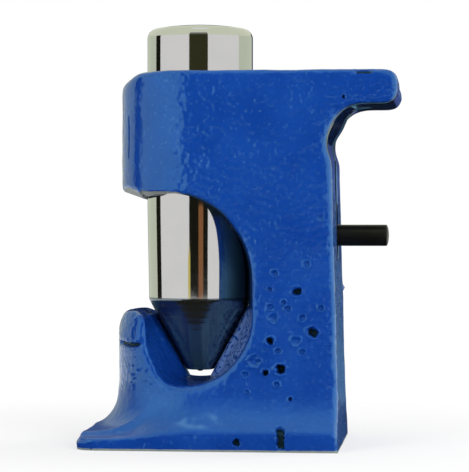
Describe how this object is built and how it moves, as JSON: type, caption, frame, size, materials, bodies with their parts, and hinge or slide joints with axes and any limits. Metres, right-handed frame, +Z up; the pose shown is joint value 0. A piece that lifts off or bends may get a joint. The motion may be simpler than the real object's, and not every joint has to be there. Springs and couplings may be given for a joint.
{
  "type": "hammer-struck crimping press",
  "caption": "Small cast C-frame press with a round ram, blunt conical nose, V-shaped anvil groove and a rear lift pin, struck with a hammer to crimp cable lugs.",
  "frame": {"origin": "on the ram's axis, in the plane of the base's underside", "axes": "+Z up along the ram, +X towards the back of the frame where the lift pin comes out, +Y across the frame's thickness"},
  "size_m": [0.0749, 0.047, 0.1003],
  "materials": {
    "frame_paint": "glossy blue paint over a rough casting",
    "ram_chrome": "polished hard chrome",
    "nose_steel": "dark turned steel",
    "pin_steel": "black oxide"
  },
  "bodies": {
    "frame": {"frame_casting": "frame_paint"},
    "ram": {"ram": "ram_chrome", "indenter_nose": "nose_steel", "lift_pin": "pin_steel"}
  },
  "joints": [
    {"name": "ram_slide", "type": "slide", "parent": "frame", "child": "ram", "axis": [0, 0, 1], "range_m": [0, 0.0265]}
  ]
}
